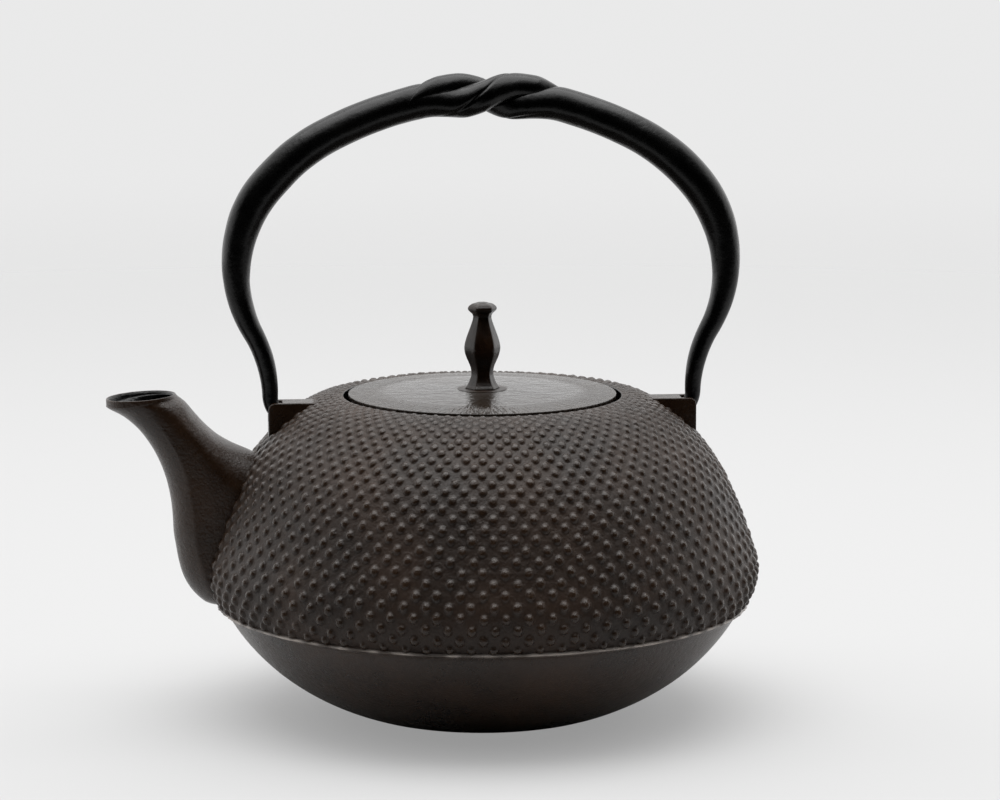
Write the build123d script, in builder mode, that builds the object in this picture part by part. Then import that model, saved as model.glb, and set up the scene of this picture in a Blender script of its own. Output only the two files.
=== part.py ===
from build123d import *
import math
import os

# Cast-iron kettle with a bail handle, a lid and a hanging tea infuser.  Millimetres, +Z up.
# The origin is the centre of the flat base.  The spout points along -X and the bail stands in the
# XZ plane, so the pivots of its two feet lie on one line parallel to X.

# ---------------------------------------------------------------- driving dimensions
WALL = 2.8                     # casting wall of the pot
BASE_RADIUS = 37.0             # flat face that the kettle stands on
BASE_HEADING = 16.0            # slope of the bowl where it leaves the base, degrees
BOWL_ARCS = ((76.0, 16.5), (66.0, 29.0))                             # (radius, turn in degrees)
SHELL_START = (80.2, 33.45)    # radius and height where the upper shell rises from the parting line
SHELL_HEADING = 51.0
SHELL_ARCS = ((17.0, 56.0), (170.0, 7.5), (57.0, 31.0), (23.0, 28.5))

RIM_TOP = 97.0                 # top of the ring around the mouth
SEAT_Z = 95.0                  # ledge that the infuser flange rests on
SEAT_RADIUS = 42.3
MOUTH_RADIUS = 38.3
COLLAR_DEPTH = 3.4             # thickness of the ledge under the seat
COLLAR_SLOPE = 0.8             # the underside of the ledge falls this much towards the mouth
COLLAR_ROOT = 1.0              # it meets the wall this far outside the seat
OVERRUN = 1.0                  # how far a cut runs past the metal that it opens

LUG_ROOT = 44.0                # the lugs start inside the wall of the shoulder
LUG_REACH = 65.2               # distance from the axis to the outer end of each lug
LUG_BOTTOM = 82.0
LUG_TOP = 95.6
LUG_THICKNESS = 8.6
LUG_CORNER = 2.4
SLOT_WIDTH = 5.4
SLOT_INNER = 60.9
SLOT_FLOOR = 89.2
PIVOT_Z = 91.8                 # height of the line through both pivot pegs
PEG_RADIUS = 1.9
PEG_CLEARANCE = 0.08
PEG_TIP = 57.0
PEG_END_GAP = 0.3              # space left at the bottom of each peg hole

HOOK_START = 60.8              # the peg bends upwards here, just outside its hole
BAIL_ARCS = ((3.2, 62.0), (8.0, 28.0), (40.0, -28.75), (40.0, 68.5), (61.0, 23.0), (101.0, 27.25))
PEG_STEPS = 4                  # equal sections that keep the peg straight and round
# sections of the bar: which arc, share of that arc, half-thickness in the XZ plane and across it
HOOK_STEPS = (
    (0, 0.5, 2.05, 2.05), (1, 0.0, 2.2, 2.15), (1, 0.3, 2.4, 2.2), (1, 0.6, 2.4, 2.2),
    (1, 1.0, 2.4, 2.2),
)
BAR_STEPS = (
    (2, 0.5, 2.85, 3.1), (2, 1.0, 3.2, 3.6), (3, 0.15, 3.5, 4.0), (3, 0.35, 4.1, 4.6),
    (3, 0.55, 4.75, 5.2), (3, 0.78, 5.4, 5.8), (3, 1.0, 5.6, 6.0), (4, 0.5, 5.5, 5.9),
    (4, 1.0, 5.3, 5.7), (5, 0.3, 5.1, 5.5),
)
# the two ends of the bar are twisted around each other at the top: x, height, half-thicknesses
TWIST_STEPS = ((21.0, 186.4, 5.6, 6.0), (11.5, 188.1, 6.9, 6.9), (0.0, 188.2, 5.2, 7.4))

SPOUT_TILT = 5.8               # the mouth rises towards the pot by this many degrees
SPOUT_LIP = (-114.2, 97.6)
# horizontal sections of the spout: height, outermost x, innermost x, half-width
SPOUT_OUTSIDE = (
    (33.6, -82.6, -76.0, 3.0), (36.0, -87.2, -72.0, 5.2), (41.0, -90.8, -70.0, 7.2),
    (47.0, -93.1, -68.0, 8.9), (56.0, -94.4, -64.0, 10.6), (66.0, -95.0, -62.0, 11.7),
    (74.0, -96.9, -62.0, 12.0), (80.0, -99.3, -72.0, 11.4), (84.3, -101.8, -79.5, 10.5),
    (88.0, -104.7, -84.2, 9.8), (91.5, -108.8, -87.2, 9.4), (94.5, -112.8, -89.8, 9.4),
    (98.0, -114.2, -92.2, 9.4), (101.0, -114.4, -94.0, 9.4),
)
SPOUT_INSIDE = (
    (52.0, -86.0, -72.0, 4.0), (58.0, -90.6, -66.0, 7.5), (66.0, -92.2, -64.0, 9.0),
    (74.0, -94.2, -62.0, 9.4), (80.0, -96.4, -74.0, 8.9), (84.3, -98.9, -81.9, 8.3),
    (88.0, -101.8, -86.3, 7.9), (91.5, -105.4, -89.3, 7.6), (95.0, -110.0, -92.0, 7.7),
    (102.0, -113.2, -95.0, 7.8),
)

LID_RADIUS = 40.8
LID_EDGE_TOP = 97.5
LID_CROWN = 98.7
LID_UNDER = 95.85
LID_CHAMFER = 0.8
SKIRT_RADIUS = 34.0
SKIRT_WALL = 2.0
SKIRT_DEPTH = 3.5
KNOB_FLAT = 2.0                # flat of the crown, beyond the edge of the knob's seat plate

KNOB_SEAT_RADIUS = 7.8         # thin plate between the knob and the lid
KNOB_SEAT_THICKNESS = 0.6
TANG_RADIUS = 1.9
TANG_HOLE = 2.2
BACK_WASHER_RADIUS = 4.6
BACK_WASHER_THICKNESS = 0.8
RIVET_RADIUS = 3.0
RIVET_THICKNESS = 1.0
KNOB_SIDES = 6
# height above the seat plate and corner radius of each section of the knob
KNOB_SECTIONS = (
    (0.0, 7.1), (0.9, 6.2), (2.6, 4.5), (5.0, 3.7), (8.0, 4.9), (11.2, 6.0), (14.6, 5.4),
    (18.2, 3.9), (21.2, 2.9), (22.6, 3.6), (23.6, 4.6),
)
CAP_SECTIONS = ((23.6, 4.6), (24.1, 4.7), (25.2, 3.9), (26.0, 2.0))

SHEET = 0.6                    # infuser rim and crimp ring sheet
MESH = 0.5                     # thickness of the mesh
FLANGE_RADIUS = 40.2
BASKET_RADIUS = 36.0           # outside of the rim's collar
COLLAR_HEIGHT = 6.0
BASKET_BOTTOM = 55.0
CRIMP_HEIGHT = 3.4
CRIMP_FOOT = 4.0
WALL_TOP_GAP = 1.0             # the mesh ends this far below the flange, inside the collar
GAP = 0.1                      # space between the flange and the seat that it rests on


def direction(degrees):
    """Unit vector in the section plane, counted from the outward radius towards up."""
    return (math.cos(math.radians(degrees)), math.sin(math.radians(degrees)))


def inset(point, heading, depth):
    """Move a point of the outline inwards, square to its heading."""
    across = direction(heading + 90.0)
    return (point[0] + depth * across[0], point[1] + depth * across[1])


def arc_chain(start, heading, arcs, depth=0.0):
    """Draw arcs that run smoothly into each other, optionally set in by a wall thickness."""
    point = inset(start, heading, depth)
    for radius, turn in arcs:
        arc = JernArc(point, direction(heading), radius - math.copysign(depth, turn), turn)
        point = arc @ 1
        heading += turn
    return point


def ellipses(levels):
    """One horizontal ellipse at each level, for a loft."""
    faces = []
    for height, outer, inner, half_width in levels:
        with BuildSketch(Plane.XY.offset(height)) as level:
            with Locations(((outer + inner) / 2, 0)):
                Ellipse(abs(outer - inner) / 2, half_width)
        faces.append(level.sketch.face())
    return faces


def ring_section(inner, outer, low, high):
    """Half-section of a ring of rectangular section."""
    with BuildSketch(Plane.XZ) as section:
        with Locations(((inner + outer) / 2, (low + high) / 2)):
            Rectangle(outer - inner, high - low)
    return section.sketch.face()


# ---------------------------------------------------------------- the pot, one casting
with BuildPart() as kettle_body:
    with BuildSketch(Plane.XZ):
        with BuildLine():
            Line((0, 0), (BASE_RADIUS, 0))
            bowl_end = arc_chain((BASE_RADIUS, 0), BASE_HEADING, BOWL_ARCS)
            Line(bowl_end, SHELL_START)
            shell_end = arc_chain(SHELL_START, SHELL_HEADING, SHELL_ARCS)
            Polyline(shell_end, (SEAT_RADIUS, RIM_TOP), (0, RIM_TOP), (0, 0))
        make_face()
    revolve(axis=Axis.Z)

    # spout: a deep keel at the bowl that narrows upwards into a round tube
    loft(sections=ellipses(SPOUT_OUTSIDE))
    mouth_plane = Plane(
        origin=(SPOUT_LIP[0], 0, SPOUT_LIP[1]),
        x_dir=(0, 1, 0),
        z_dir=(-math.sin(math.radians(SPOUT_TILT)), 0, math.cos(math.radians(SPOUT_TILT))),
    )
    split(bisect_by=mouth_plane, keep=Keep.BOTTOM)

    # two fin lugs for the bail, on the shoulder
    with BuildSketch(Plane.XZ):
        with BuildLine():
            Polyline(
                (LUG_ROOT, LUG_BOTTOM),
                (LUG_REACH, LUG_BOTTOM),
                (LUG_REACH, LUG_TOP),
                (LUG_ROOT, LUG_TOP),
                close=True,
            )
        face = make_face()
        corner = face.vertices().group_by(Axis.X)[-1].sort_by(Axis.Z)[-1]
        fillet(corner, radius=LUG_CORNER)
        mirror(about=Plane.YZ)
    extrude(amount=LUG_THICKNESS / 2, both=True)

    # cavity, one wall thickness inside the outline, with the mouth and its seat
    with BuildSketch(Plane.XZ):
        with BuildLine():
            floor_edge = inset((BASE_RADIUS, 0), BASE_HEADING, WALL)
            Line((0, floor_edge[1]), floor_edge)
            bowl_inner = arc_chain((BASE_RADIUS, 0), BASE_HEADING, BOWL_ARCS, WALL)
            Line(bowl_inner, inset(SHELL_START, SHELL_HEADING, WALL))
            shell_inner = arc_chain(SHELL_START, SHELL_HEADING, SHELL_ARCS, WALL)
            Polyline(
                shell_inner,
                (SEAT_RADIUS + COLLAR_ROOT, SEAT_Z - COLLAR_DEPTH + COLLAR_SLOPE),
                (MOUTH_RADIUS, SEAT_Z - COLLAR_DEPTH),
                (MOUTH_RADIUS, RIM_TOP + OVERRUN),
                (0, RIM_TOP + OVERRUN),
                (0, floor_edge[1]),
            )
        make_face()
    revolve(axis=Axis.Z, mode=Mode.SUBTRACT)
    with BuildSketch(Plane.XY.offset(SEAT_Z)):
        Circle(SEAT_RADIUS)
    extrude(amount=RIM_TOP - SEAT_Z + OVERRUN, mode=Mode.SUBTRACT)

    # channel of the spout, open to the cavity
    loft(sections=ellipses(SPOUT_INSIDE), mode=Mode.SUBTRACT)

    # slot between two cheeks in each lug, and the blind hole for the peg
    slot_length = LUG_REACH - SLOT_INNER + OVERRUN
    slot_height = LUG_TOP - SLOT_FLOOR + OVERRUN
    with BuildSketch(Plane.XZ.offset(-SLOT_WIDTH / 2)):
        with Locations((SLOT_INNER + slot_length / 2, SLOT_FLOOR + slot_height / 2)):
            Rectangle(slot_length, slot_height)
        mirror(about=Plane.YZ)
    extrude(amount=SLOT_WIDTH, mode=Mode.SUBTRACT)
    for side in (1, -1):
        with BuildSketch(Plane.YZ.offset(side * (PEG_TIP - PEG_END_GAP))):
            with Locations((0, PIVOT_Z)):
                Circle(PEG_RADIUS + PEG_CLEARANCE)
        extrude(amount=side * (SLOT_INNER - PEG_TIP + OVERRUN), mode=Mode.SUBTRACT)


# ---------------------------------------------------------------- the bail handle
def bail_arcs():
    """Centre line of the right half of the bail, from its peg to the top."""
    arcs = []
    point = (HOOK_START, PIVOT_Z)
    heading = 0.0
    with BuildLine(Plane.XZ, mode=Mode.PRIVATE):
        for radius, turn in BAIL_ARCS:
            arc = JernArc(point, direction(heading), radius, turn)
            arcs.append(arc)
            point = (arc @ 1).X, (arc @ 1).Z
            heading += turn
    return arcs


def bail_sections():
    """Sections of the right half: place, tangent and the two half-thicknesses."""
    arcs = bail_arcs()
    sections = []
    for step in range(PEG_STEPS):
        along = PEG_TIP + (HOOK_START - PEG_TIP) * step / (PEG_STEPS - 1)
        sections.append((Vector(along, 0, PIVOT_Z), Vector(1, 0, 0), PEG_RADIUS, PEG_RADIUS))
    for index, share, in_plane, across in HOOK_STEPS + BAR_STEPS:
        sections.append((arcs[index] @ share, arcs[index] % share, in_plane, across))
    for along, height, in_plane, across in TWIST_STEPS:
        slope = Vector(-1, 0, 0.25 * along / TWIST_STEPS[0][0])
        sections.append((Vector(along, 0, height), slope.normalized(), in_plane, across))
    return sections


with BuildPart() as bail_handle:
    right = bail_sections()
    left = [
        (Vector(-spot.X, 0, spot.Z), Vector(tangent.X, 0, -tangent.Z), in_plane, across)
        for spot, tangent, in_plane, across in reversed(right[:-1])
    ]
    bar = []
    for spot, tangent, in_plane, across in right + left:
        with BuildSketch(Plane(spot, x_dir=tangent.cross(Vector(0, 1, 0)), z_dir=tangent)) as cut:
            Ellipse(in_plane, across)
        bar.append(cut.sketch.face())
    loft(sections=bar)

# ---------------------------------------------------------------- the lid
crown_radius = KNOB_SEAT_RADIUS + KNOB_FLAT
with BuildPart() as lid_plate:
    with BuildSketch(Plane.XZ):
        with BuildLine():
            Polyline(
                (TANG_HOLE, LID_UNDER),
                (SKIRT_RADIUS - SKIRT_WALL, LID_UNDER),
                (SKIRT_RADIUS - SKIRT_WALL, LID_UNDER - SKIRT_DEPTH),
                (SKIRT_RADIUS, LID_UNDER - SKIRT_DEPTH),
                (SKIRT_RADIUS, LID_UNDER),
                (LID_RADIUS - LID_CHAMFER, LID_UNDER),
                (LID_RADIUS, LID_UNDER + LID_CHAMFER),
                (LID_RADIUS, LID_EDGE_TOP),
            )
            Spline(
                (LID_RADIUS, LID_EDGE_TOP),
                (crown_radius, LID_CROWN),
                tangents=[(-1, 0.12), (-1, 0)],
            )
            Polyline((crown_radius, LID_CROWN), (TANG_HOLE, LID_CROWN), (TANG_HOLE, LID_UNDER))
        make_face()
    revolve(axis=Axis.Z)

with BuildPart() as knob_seat_washer:
    washer = ring_section(TANG_HOLE, KNOB_SEAT_RADIUS, LID_CROWN, LID_CROWN + KNOB_SEAT_THICKNESS)
    revolve(profiles=washer, axis=Axis.Z)

with BuildPart() as knob_back_washer:
    washer = ring_section(TANG_HOLE, BACK_WASHER_RADIUS, LID_UNDER - BACK_WASHER_THICKNESS, LID_UNDER)
    revolve(profiles=washer, axis=Axis.Z)

knob_foot = LID_CROWN + KNOB_SEAT_THICKNESS
rivet_low = LID_UNDER - BACK_WASHER_THICKNESS - RIVET_THICKNESS
with BuildPart() as lid_knob:
    for sections in (KNOB_SECTIONS, CAP_SECTIONS):
        for height, radius in sections:
            with BuildSketch(Plane.XY.offset(knob_foot + height)):
                RegularPolygon(radius, KNOB_SIDES, rotation=0)
        loft()
    with BuildSketch(Plane.XY.offset(rivet_low)):
        Circle(TANG_RADIUS)
    extrude(amount=knob_foot - rivet_low)
    with BuildSketch(Plane.XY.offset(rivet_low)):
        Circle(RIVET_RADIUS)
    extrude(amount=RIVET_THICKNESS)

# ---------------------------------------------------------------- the infuser
flange_low = SEAT_Z + GAP
with BuildPart() as infuser_rim:
    flange = ring_section(BASKET_RADIUS - SHEET, FLANGE_RADIUS, flange_low, flange_low + SHEET)
    collar = ring_section(
        BASKET_RADIUS - SHEET, BASKET_RADIUS, flange_low - COLLAR_HEIGHT, flange_low + SHEET
    )
    revolve(profiles=[flange, collar], axis=Axis.Z)

mesh_outer = BASKET_RADIUS - SHEET
with BuildPart() as infuser_wall:
    wall = ring_section(
        mesh_outer - MESH, mesh_outer, BASKET_BOTTOM + SHEET + MESH, flange_low - WALL_TOP_GAP
    )
    revolve(profiles=wall, axis=Axis.Z)

with BuildPart() as infuser_base:
    with BuildSketch(Plane.XY.offset(BASKET_BOTTOM + SHEET)):
        Circle(mesh_outer)
    extrude(amount=MESH)

with BuildPart() as infuser_base_ring:
    upright = ring_section(mesh_outer, BASKET_RADIUS, BASKET_BOTTOM, BASKET_BOTTOM + CRIMP_HEIGHT)
    foot = ring_section(
        BASKET_RADIUS - CRIMP_FOOT, BASKET_RADIUS, BASKET_BOTTOM, BASKET_BOTTOM + SHEET
    )
    revolve(profiles=[upright, foot], axis=Axis.Z)

# ---------------------------------------------------------------- labels and files
pieces = {
    "kettle_body": kettle_body,
    "bail_handle": bail_handle,
    "lid_plate": lid_plate,
    "knob_seat_washer": knob_seat_washer,
    "knob_back_washer": knob_back_washer,
    "lid_knob": lid_knob,
    "infuser_rim": infuser_rim,
    "infuser_wall": infuser_wall,
    "infuser_base": infuser_base,
    "infuser_base_ring": infuser_base_ring,
}
os.makedirs("parts", exist_ok=True)
for name, piece in pieces.items():
    piece.part.label = name
    export_step(piece.part, f"parts/{name}.step")
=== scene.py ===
from math import copysign, cos, pi, radians, sin, sqrt

import bmesh
import bpy
import numpy as np
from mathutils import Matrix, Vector


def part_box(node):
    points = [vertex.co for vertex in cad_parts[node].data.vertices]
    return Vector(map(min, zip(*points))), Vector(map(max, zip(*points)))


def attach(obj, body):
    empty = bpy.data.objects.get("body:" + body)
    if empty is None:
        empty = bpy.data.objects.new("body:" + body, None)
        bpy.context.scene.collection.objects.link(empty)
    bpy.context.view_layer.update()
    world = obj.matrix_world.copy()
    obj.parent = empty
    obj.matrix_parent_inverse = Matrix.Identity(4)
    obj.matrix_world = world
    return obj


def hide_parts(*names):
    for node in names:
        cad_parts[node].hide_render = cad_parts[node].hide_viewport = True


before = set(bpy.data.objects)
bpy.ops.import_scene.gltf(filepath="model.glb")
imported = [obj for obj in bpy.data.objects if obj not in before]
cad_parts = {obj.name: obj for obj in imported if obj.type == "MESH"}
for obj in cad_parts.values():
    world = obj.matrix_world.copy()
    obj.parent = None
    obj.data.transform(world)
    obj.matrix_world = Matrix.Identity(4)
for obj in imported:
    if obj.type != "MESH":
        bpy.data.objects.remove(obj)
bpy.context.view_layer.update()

# A cast-iron kettle-shaped teapot: dotted shoulder, horn spout, twisted bail, faceted knob and a
# hanging mesh infuser.  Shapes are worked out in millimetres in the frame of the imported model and
# turned into metres when a mesh is made.  The spout points along -X and the front is -Y.
MM = 0.001
POT = ("pot", "cast_iron_body", "kettle_body")  # body, slot and node of the pot's pieces
SEED = 11


def node_box(name):
    """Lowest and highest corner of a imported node, in millimetres."""
    low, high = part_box(name)
    return np.array(low) / MM, np.array(high) / MM


LID_LOW, LID_HIGH = node_box("lid_plate")
KNOB_LOW, KNOB_HIGH = node_box("lid_knob")
RIM_LOW, RIM_HIGH = node_box("infuser_rim")
WALL_LOW, WALL_HIGH = node_box("infuser_wall")
DISC_LOW, DISC_HIGH = node_box("infuser_base")
CRIMP_LOW, CRIMP_HIGH = node_box("infuser_base_ring")

# ---- outline of the pot
WALL = 2.8
BASE_RADIUS = 37.0
BASE_HEADING = 16.0
BOWL_ARCS = ((76.0, 16.5), (66.0, 29.0))  # (radius, turn in degrees)
PARTING = (80.2, 33.45)  # where the two halves of the mould met
SHELL_HEADING = 51.0
SHELL_ARCS = ((17.0, 56.0), (170.0, 7.5), (57.0, 31.0), (23.0, 28.5))
RIM_TOP = 97.0
SEAT_Z = RIM_LOW[2] - 0.1
SEAT_RADIUS = 42.3
MOUTH_RADIUS = 38.3
LEDGE_Z = SEAT_Z - 3.4

# ---- the raised dots
DOTS_AROUND = 78
SAMPLES = 8  # grid steps in each half pitch of the dots
SECTORS = 4  # the shoulder is cut into this many pieces
GROUND = -0.40  # depth of the ground between the dots
DOT_HEIGHT = 0.80
DOT_SLIM = 1.16  # the dots are this much longer up the wall than across it
DOT_EDGE = 42.9  # the dots run up to this radius, beside the lid


# ---- small helpers
def smoothstep(low, high, value):
    """0 below low, 1 above high, smooth between them."""
    share = np.clip((np.asarray(value, float) - low) / (high - low), 0.0, 1.0)
    return share * share * (3.0 - 2.0 * share)


def soft_noise(u, v, period, seed):
    """Smooth random field from -1 to 1 on unit cells, repeating along u after period cells."""
    table = np.random.default_rng(seed).uniform(-1.0, 1.0, (period, 512))
    u0, v0 = np.floor(u).astype(int), np.floor(v).astype(int)
    fu, fv = smoothstep(0.0, 1.0, u - u0), smoothstep(0.0, 1.0, v - v0)
    left, right = u0 % period, (u0 + 1) % period
    low, high = v0 % 512, (v0 + 1) % 512
    near = table[left, low] * (1 - fu) + table[right, low] * fu
    far = table[left, high] * (1 - fu) + table[right, high] * fu
    return near * (1 - fv) + far * fv


def catmull(values, at):
    """Smooth curve through rows of values, read at fractional row numbers."""
    values = np.asarray(values, float)
    last = len(values) - 1
    at = np.clip(np.asarray(at, float), 0, last)
    base = np.minimum(at.astype(int), last - 1)
    share = (at - base).reshape((-1,) + (1,) * (values.ndim - 1))
    before = values[np.maximum(base - 1, 0)]
    start, end = values[base], values[base + 1]
    after = values[np.minimum(base + 2, last)]
    bend = 2 * before - 5 * start + 4 * end - after
    twist = 3 * start - 3 * end + after - before
    return start + 0.5 * share * ((end - before) + share * (bend + share * twist))


def smooth_table(rows, at):
    """Like catmull, but the first column of rows is the place that at refers to."""
    rows = np.asarray(rows, float)
    number = np.interp(at, rows[:, 0], np.arange(len(rows)))
    return catmull(rows[:, 1:], number)


def arcs_at(start, heading, arcs, travelled):
    """Points and headings at the given distances along a chain of tangent arcs."""
    travelled = np.asarray(travelled, float)
    point = np.array(start, float)
    points = np.zeros((len(travelled), 2))
    headings = np.zeros(len(travelled))
    passed = 0.0
    for number, (radius, turn) in enumerate(arcs):
        length = abs(radius * radians(turn))
        side = copysign(1.0, turn)
        centre = point + radius * side * unit(heading + 90.0)
        here = travelled >= passed - 1e-9
        if number < len(arcs) - 1:
            here &= travelled < passed + length
        angle = heading + side * np.degrees((travelled[here] - passed) / radius)
        points[here] = centre - radius * side * unit(angle + 90.0)
        headings[here] = angle
        point = centre - radius * side * unit(heading + turn + 90.0)
        heading += turn
        passed += length
    return points, headings


def arcs_length(arcs):
    return sum(abs(radius * radians(turn)) for radius, turn in arcs)


def unit(degrees):
    """Unit vector, one row for each angle."""
    angle = np.radians(degrees)
    return np.stack([np.cos(angle), np.sin(angle)], axis=-1)


def inset_point(point, heading, depth):
    """A point moved to the left of a heading by depth."""
    return np.array(point) + depth * unit(heading + 90.0)


def wall_inside(start, heading, arcs, count):
    """Points on the inner face of the wall whose outer face is a chain of arcs."""
    arcs = tuple((radius - copysign(WALL, turn), turn) for radius, turn in arcs)
    travelled = np.linspace(0.0, arcs_length(arcs), count)
    return arcs_at(inset_point(start, heading, WALL), heading, arcs, travelled)[0]


def rounded(corners, radii, steps=5):
    """An open outline with each inner corner turned into a short smooth curve."""
    corners = [np.array(corner, float) for corner in corners]
    outline = [corners[0]]
    for before, corner, after, radius in zip(corners, corners[1:], corners[2:], radii):
        start = corner + (before - corner) / np.linalg.norm(before - corner) * radius
        end = corner + (after - corner) / np.linalg.norm(after - corner) * radius
        for share in np.linspace(0.0, 1.0, steps):
            bent = (1 - share) ** 2 * start + 2 * share * (1 - share) * corner
            outline.append(bent + share ** 2 * end)
    outline.append(corners[-1])
    return np.array(outline)


def densify(outline, step):
    """Points at most one step apart along an outline."""
    result = [outline[0]]
    for start, end in zip(outline, outline[1:]):
        count = max(1, int(np.ceil(np.linalg.norm(end - start) / step)))
        for share in np.arange(1, count + 1) / count:
            result.append(start + (end - start) * share)
    return np.array(result)


def grid_quads(rows, columns, wrap_rows=False, wrap_columns=False):
    """Quads of a grid of vertices that is stored row by row."""
    i = np.arange(rows if wrap_rows else rows - 1)
    j = np.arange(columns if wrap_columns else columns - 1)
    i, j = np.meshgrid(i, j, indexing="ij")
    up, right = (i + 1) % rows, (j + 1) % columns
    corners = (i * columns + j, i * columns + right, up * columns + right, up * columns + j)
    return np.stack(corners, axis=-1).reshape(-1, 4)


def make_mesh(name, points, polygons):
    """A mesh in metres from points in millimetres; polygons is a list of equal-sided arrays."""
    mesh = bpy.data.meshes.new(name)
    mesh.vertices.add(len(points))
    mesh.vertices.foreach_set("co", (np.asarray(points, np.float64) * MM).ravel())
    corners = np.concatenate([np.ravel(group) for group in polygons])
    sizes = np.repeat([np.shape(group)[1] for group in polygons], [len(g) for g in polygons])
    mesh.loops.add(len(corners))
    mesh.loops.foreach_set("vertex_index", corners.astype(np.int32))
    mesh.polygons.add(len(sizes))
    starts = np.concatenate([[0], np.cumsum(sizes)[:-1]])
    mesh.polygons.foreach_set("loop_start", starts.astype(np.int32))
    mesh.update(calc_edges=True)
    mesh.validate()
    mesh.shade_smooth()
    return mesh


def paint(mesh, name, values):
    """Store one number for each vertex, which a material can read by name."""
    attribute = mesh.attributes.new(name, "FLOAT", "POINT")
    attribute.data.foreach_set("value", np.asarray(values, np.float32).ravel())


def new_object(name, data):
    thing = bpy.data.objects.new(name, data)
    bpy.context.scene.collection.objects.link(thing)
    return thing


def add_piece(mesh, material, body, slot, node):
    """Put a mesh in the scene with its material, its body, its slot and the node it stands for."""
    piece = new_object(mesh.name, mesh)
    mesh.materials.clear()
    mesh.materials.append(material)
    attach(piece, body)
    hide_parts(node)


def normalised(vectors):
    return vectors / np.linalg.norm(vectors, axis=-1, keepdims=True)


def around_axis(radius, angle, height):
    """Points at a radius, an angle and a height from the Z axis."""
    parts = np.broadcast_arrays(radius * np.cos(angle), radius * np.sin(angle), height)
    return np.stack(parts, axis=-1)


def spread(outline, columns):
    """The radii and the heights of an outline's points, repeated round the axis."""
    return tuple(np.repeat(outline[:, k:k + 1], columns, axis=1) for k in (0, 1))


def circle(columns):
    """Equal angles round a circle."""
    return np.arange(columns) * 2 * pi / columns


def closed_tube(name, cloud, ends):
    """A mesh from rows of points round a tube, with a fan of triangles to a point at each end."""
    rows, columns = cloud.shape[:2]
    here = np.arange(columns)
    after = (here + 1) % columns
    final = (rows - 1) * columns
    middle = np.full(columns, rows * columns)
    polygons = [
        grid_quads(rows, columns, wrap_columns=True),
        np.stack([after, here, middle], axis=-1),
        np.stack([here + final, after + final, middle + 1], axis=-1),
    ]
    return make_mesh(name, np.concatenate([cloud.reshape(-1, 3), ends]), polygons)


def revolve(name, outline, columns, closed, wobble=None):
    """Turn an outline of (radius, height) points round the Z axis.

    A closed outline makes a ring.  An open one starts and ends on the axis.
    """
    angles = circle(columns)
    radius, height = spread(outline if closed else outline[1:-1], columns)
    if wobble is not None:
        radius, height = wobble(radius, height, angles[None, :])
    cloud = around_axis(radius, angles, height)
    if not closed:
        return closed_tube(name, cloud, [(0.0, 0.0, outline[end, 1]) for end in (0, -1)])
    quads = grid_quads(len(cloud), columns, wrap_rows=True, wrap_columns=True)
    return make_mesh(name, cloud.reshape(-1, 3), [quads])


# ---- materials
class Nodes:
    """A short way to lay out the nodes of one material or of the world."""

    def __init__(self, owner):
        owner.use_nodes = True
        self.owner = owner
        self.tree = owner.node_tree
        self.shader = self.tree.nodes.get("Principled BSDF")
        self.places = self.add("ShaderNodeTexCoord").outputs
        self.place = self.places["Object"]

    def feed(self, node, sockets):
        """Give each named input a plain value, or link another node's socket into it."""
        for key, value in sockets.items():
            if isinstance(value, bpy.types.NodeSocket):
                self.tree.links.new(value, node.inputs[key])
            else:
                node.inputs[key].default_value = value
        return node

    def add(self, kind, sockets={}, **settings):
        """A new node; sockets pairs its inputs with what feeds them."""
        node = self.tree.nodes.new(kind)
        for key, value in settings.items():
            setattr(node, key, value)
        return self.feed(node, sockets)

    def noise(self, scale, detail, rough, stretch=(1, 1, 1), at=None):
        """Noise in object space, or at given coordinates; scale is in cycles per metre."""
        at = self.place if at is None else at
        at = self.add("ShaderNodeMapping", {"Vector": at, "Scale": stretch}).outputs["Vector"]
        sockets = {"Vector": at, "Scale": scale, "Detail": detail, "Roughness": rough}
        return self.add("ShaderNodeTexNoise", sockets).outputs["Fac"]

    def seen(self):
        """1 where the camera itself looks, and 0 for light on its way round the scene."""
        return self.add("ShaderNodeLightPath").outputs["Is Camera Ray"]

    def attribute(self, name):
        return self.add("ShaderNodeAttribute", attribute_name=name).outputs["Fac"]

    def remap(self, value, low, high, to_low=0.0, to_high=1.0, smooth=False):
        """Carry low to high over to another range, flat beyond both ends."""
        sockets = {"Value": value, "From Min": low, "From Max": high, "To Min": to_low}
        sockets["To Max"] = to_high
        kind = "SMOOTHSTEP" if smooth else "LINEAR"
        return self.add("ShaderNodeMapRange", sockets, interpolation_type=kind).outputs["Result"]

    def math(self, operation, first, second):
        return self.add("ShaderNodeMath", {0: first, 1: second}, operation=operation).outputs[0]

    def blend(self, share, first, second, kind="FLOAT"):
        """Mix two numbers."""
        sockets = {"Factor": share, "A": first, "B": second}
        return self.add("ShaderNodeMix", sockets, data_type=kind).outputs["Result"]

    def mix(self, share, first, second):
        """Mix two colours, each a socket or an RGB tuple."""
        first, second = ((*c, 1.0) if isinstance(c, tuple) else c for c in (first, second))
        return self.blend(share, first, second, "RGBA")

    def bumps(self, *layers):
        """Stack bump layers, each a height socket with its depth in metres."""
        normal = None
        for height, depth in layers:
            sockets = {"Strength": 1.0, "Distance": depth, "Height": height}
            if normal is not None:
                sockets["Normal"] = normal
            normal = self.add("ShaderNodeBump", sockets).outputs["Normal"]
        self.feed(self.shader, {"Normal": normal})

    def finish(self, colour, roughness, metallic=0.0, specular=0.5):
        sockets = {"Base Color": colour, "Roughness": roughness, "Metallic": metallic}
        self.feed(self.shader, {**sockets, "Specular IOR Level": specular})
        return self.owner


def new_material(name):
    return Nodes(bpy.data.materials.new(name))


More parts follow.
